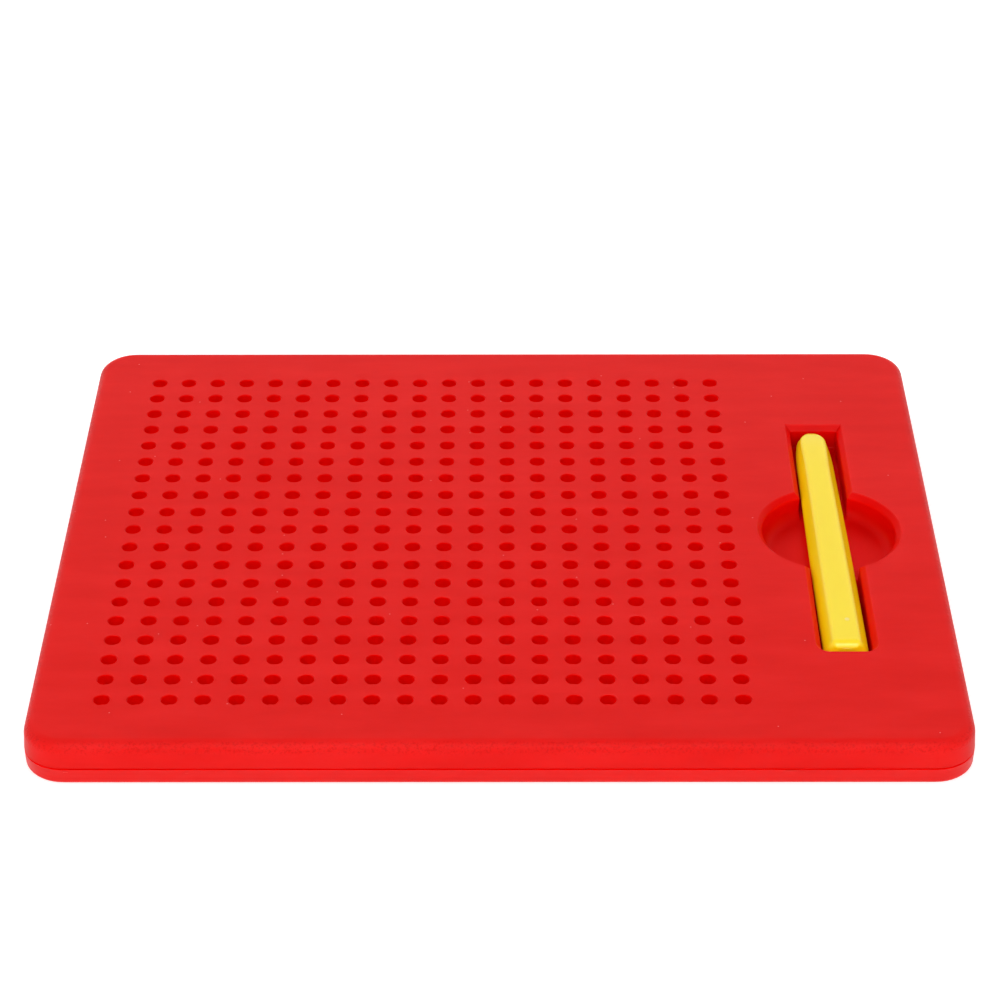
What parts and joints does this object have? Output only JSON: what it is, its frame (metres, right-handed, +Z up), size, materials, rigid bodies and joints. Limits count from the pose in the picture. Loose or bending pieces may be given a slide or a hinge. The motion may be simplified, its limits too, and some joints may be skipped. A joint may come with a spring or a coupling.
{
  "type": "magnetic bead drawing board",
  "caption": "Flat rounded board with a grid of holes over captive steel beads that a magnetic stylus raises and a finger presses back; the stylus lies in a recess.",
  "frame": {"origin": "middle of the underside, on the surface that the board lies on", "axes": "+X to the right along the longer side, towards the stylus; +Y away from the user; +Z up out of the perforated face"},
  "size_m": [0.2174, 0.174, 0.0121],
  "materials": {
    "red_panel": "moulded ABS with a fine satin grain",
    "red_back": "moulded ABS, satin",
    "soft_sheet": "soft red sheet",
    "screw_steel": "zinc-plated",
    "yellow_stylus": "smooth moulded, glossy",
    "magnet": "nickel-plated magnet",
    "bead_steel": "polished steel balls"
  },
  "bodies": {
    "case": {"front_panel": "red_panel", "back_panel": "red_back", "retaining_sheet": "soft_sheet", "case_screws": "screw_steel"},
    "bead_row_01_beads": {"bead_row_01": "bead_steel"},
    "bead_row_02_beads": {"bead_row_02": "bead_steel"},
    "bead_row_03_beads": {"bead_row_03": "bead_steel"},
    "bead_row_04_beads": {"bead_row_04": "bead_steel"},
    "bead_row_05_beads": {"bead_row_05": "bead_steel"},
    "bead_row_06_beads": {"bead_row_06": "bead_steel"},
    "bead_row_07_beads": {"bead_row_07": "bead_steel"},
    "bead_row_08_beads": {"bead_row_08": "bead_steel"},
    "bead_row_09_beads": {"bead_row_09": "bead_steel"},
    "bead_row_10_beads": {"bead_row_10": "bead_steel"},
    "bead_row_11_beads": {"bead_row_11": "bead_steel"},
    "bead_row_12_beads": {"bead_row_12": "bead_steel"},
    "bead_row_13_beads": {"bead_row_13": "bead_steel"},
    "bead_row_14_beads": {"bead_row_14": "bead_steel"},
    "bead_row_15_beads": {"bead_row_15": "bead_steel"},
    "bead_row_16_beads": {"bead_row_16": "bead_steel"},
    "bead_row_17_beads": {"bead_row_17": "bead_steel"},
    "bead_row_18_beads": {"bead_row_18": "bead_steel"},
    "bead_row_19_beads": {"bead_row_19": "bead_steel"},
    "stylus": {"stylus_barrel": "yellow_stylus", "stylus_magnet": "magnet", "stylus_end_cap": "yellow_stylus"}
  },
  "joints": [
    {"name": "bead_row_01_slide", "type": "slide", "parent": "case", "child": "bead_row_01_beads", "axis": [0, 0, 1], "range_m": [0, 0.0043], "deforming": ["retaining_sheet"]},
    {"name": "bead_row_02_slide", "type": "slide", "parent": "case", "child": "bead_row_02_beads", "axis": [0, 0, 1], "range_m": [0, 0.0043], "deforming": ["retaining_sheet"]},
    {"name": "bead_row_03_slide", "type": "slide", "parent": "case", "child": "bead_row_03_beads", "axis": [0, 0, 1], "range_m": [0, 0.0043], "deforming": ["retaining_sheet"]},
    {"name": "bead_row_04_slide", "type": "slide", "parent": "case", "child": "bead_row_04_beads", "axis": [0, 0, 1], "range_m": [0, 0.0043], "deforming": ["retaining_sheet"]},
    {"name": "bead_row_05_slide", "type": "slide", "parent": "case", "child": "bead_row_05_beads", "axis": [0, 0, 1], "range_m": [0, 0.0043], "deforming": ["retaining_sheet"]},
    {"name": "bead_row_06_slide", "type": "slide", "parent": "case", "child": "bead_row_06_beads", "axis": [0, 0, 1], "range_m": [0, 0.0043], "deforming": ["retaining_sheet"]},
    {"name": "bead_row_07_slide", "type": "slide", "parent": "case", "child": "bead_row_07_beads", "axis": [0, 0, 1], "range_m": [0, 0.0043], "deforming": ["retaining_sheet"]},
    {"name": "bead_row_08_slide", "type": "slide", "parent": "case", "child": "bead_row_08_beads", "axis": [0, 0, 1], "range_m": [0, 0.0043], "deforming": ["retaining_sheet"]},
    {"name": "bead_row_09_slide", "type": "slide", "parent": "case", "child": "bead_row_09_beads", "axis": [0, 0, 1], "range_m": [0, 0.0043], "deforming": ["retaining_sheet"]},
    {"name": "bead_row_10_slide", "type": "slide", "parent": "case", "child": "bead_row_10_beads", "axis": [0, 0, 1], "range_m": [0, 0.0043], "deforming": ["retaining_sheet"]},
    {"name": "bead_row_11_slide", "type": "slide", "parent": "case", "child": "bead_row_11_beads", "axis": [0, 0, 1], "range_m": [0, 0.0043], "deforming": ["retaining_sheet"]},
    {"name": "bead_row_12_slide", "type": "slide", "parent": "case", "child": "bead_row_12_beads", "axis": [0, 0, 1], "range_m": [0, 0.0043], "deforming": ["retaining_sheet"]},
    {"name": "bead_row_13_slide", "type": "slide", "parent": "case", "child": "bead_row_13_beads", "axis": [0, 0, 1], "range_m": [0, 0.0043], "deforming": ["retaining_sheet"]},
    {"name": "bead_row_14_slide", "type": "slide", "parent": "case", "child": "bead_row_14_beads", "axis": [0, 0, 1], "range_m": [0, 0.0043], "deforming": ["retaining_sheet"]},
    {"name": "bead_row_15_slide", "type": "slide", "parent": "case", "child": "bead_row_15_beads", "axis": [0, 0, 1], "range_m": [0, 0.0043], "deforming": ["retaining_sheet"]},
    {"name": "bead_row_16_slide", "type": "slide", "parent": "case", "child": "bead_row_16_beads", "axis": [0, 0, 1], "range_m": [0, 0.0043], "deforming": ["retaining_sheet"]},
    {"name": "bead_row_17_slide", "type": "slide", "parent": "case", "child": "bead_row_17_beads", "axis": [0, 0, 1], "range_m": [0, 0.0043], "deforming": ["retaining_sheet"]},
    {"name": "bead_row_18_slide", "type": "slide", "parent": "case", "child": "bead_row_18_beads", "axis": [0, 0, 1], "range_m": [0, 0.0043], "deforming": ["retaining_sheet"]},
    {"name": "bead_row_19_slide", "type": "slide", "parent": "case", "child": "bead_row_19_beads", "axis": [0, 0, 1], "range_m": [0, 0.0043], "deforming": ["retaining_sheet"]},
    {"name": "stylus_lift", "type": "slide", "parent": "case", "child": "stylus", "axis": [0, 0, 1], "range_m": [0, 0.025]}
  ]
}
